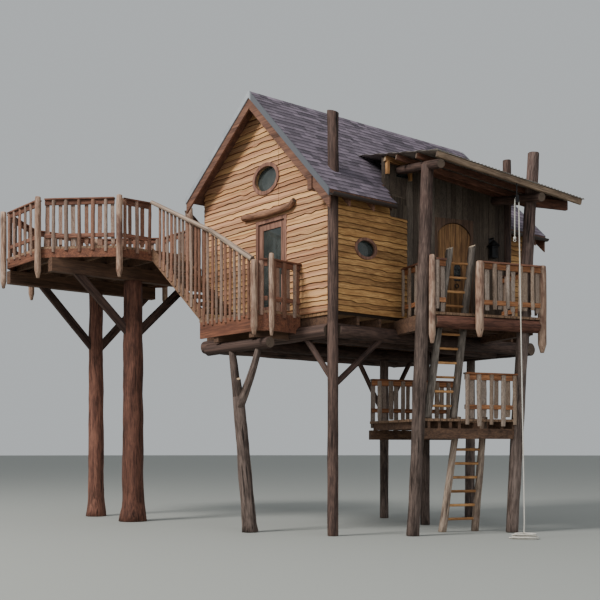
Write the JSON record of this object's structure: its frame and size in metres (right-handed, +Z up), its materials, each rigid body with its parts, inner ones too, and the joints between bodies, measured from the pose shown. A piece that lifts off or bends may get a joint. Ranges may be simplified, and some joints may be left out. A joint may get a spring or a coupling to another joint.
{
  "type": "tree house",
  "caption": "Timber tree house on log posts: gabled cabin, balcony, stair to an octagonal lookout, roofed porch over a small platform, log ladders and a rope on a pulley.",
  "frame": {"origin": "centre of the foot of the log post under the cabin's near corner, at the ground", "axes": "+Z up; the gable wall with the balcony faces -Y; +X points out of the side wall towards the porch"},
  "size_m": [12.3095, 9.5789, 9.07],
  "materials": {
    "log_wood": "peeled logs, weathered grey-brown, matt",
    "sawn_wood": "sawn timber, stained red-brown, matt",
    "deck_wood": "deck boards, weathered, matt",
    "siding_wood": "lap siding, honey coloured, satin",
    "plank_wood": "upright planks, dark brown, matt",
    "railing_wood": "split slabs, red-brown, matt",
    "door_wood": "planed door wood, satin",
    "shingle": "mineral shingles, purple-grey, granular",
    "sheet_metal": "corrugated sheet and folded edges, dull grey",
    "iron": "forged iron, black",
    "pane": "clear window glass",
    "rope_fibre": "laid white rope, soft"
  },
  "bodies": {
    "building": {"support_posts": "log_wood", "forked_post": "log_wood", "knee_braces": "log_wood", "girders": "log_wood", "floor_joists": "sawn_wood", "cabin_floor": "deck_wood", "decks": "deck_wood", "lookout_beams": "sawn_wood", "rim_boards": "sawn_wood", "gable_wall": "siding_wood", "side_wall": "siding_wood", "rear_walls": "siding_wood", "roof_slopes": "shingle", "roof_rafters": "sawn_wood", "barge_boards": "sawn_wood", "roof_edge_metal": "sheet_metal", "porch_wall": "plank_wood", "porch_roof": "sheet_metal", "porch_roof_frame": "sawn_wood", "gable_door_frame": "sawn_wood", "porch_door_frame": "sawn_wood", "door_hinge_pins": "iron", "door_lintel": "log_wood", "window_frames": "door_wood", "window_panes": "pane", "hanging_logs": "log_wood", "lookout_railing": "railing_wood", "balcony_railing": "railing_wood", "porch_railing": "railing_wood", "mid_platform_railing": "railing_wood", "stair": "sawn_wood", "stair_rail": "railing_wood", "ladders": "log_wood", "lantern": "iron", "pulley": "iron", "rope": "rope_fibre", "rope_heap": "rope_fibre", "rope_hook": "iron"},
    "gable_door_leaf": {"gable_door": "door_wood", "gable_door_glass": "pane", "gable_door_hinges": "iron"},
    "porch_door_leaf": {"porch_door": "door_wood", "porch_door_hinges": "iron"}
  },
  "joints": [
    {"name": "gable_door_hinge", "type": "hinge", "parent": "building", "child": "gable_door_leaf", "pos_m": [-2.3205, 0.059, 4.35], "axis": [0, 0, 1], "range_deg": [0, 95]},
    {"name": "porch_door_hinge", "type": "hinge", "parent": "building", "child": "porch_door_leaf", "pos_m": [0.38762, 3.49288, 4.3], "axis": [0, 0, -1], "range_deg": [0, 95]}
  ]
}
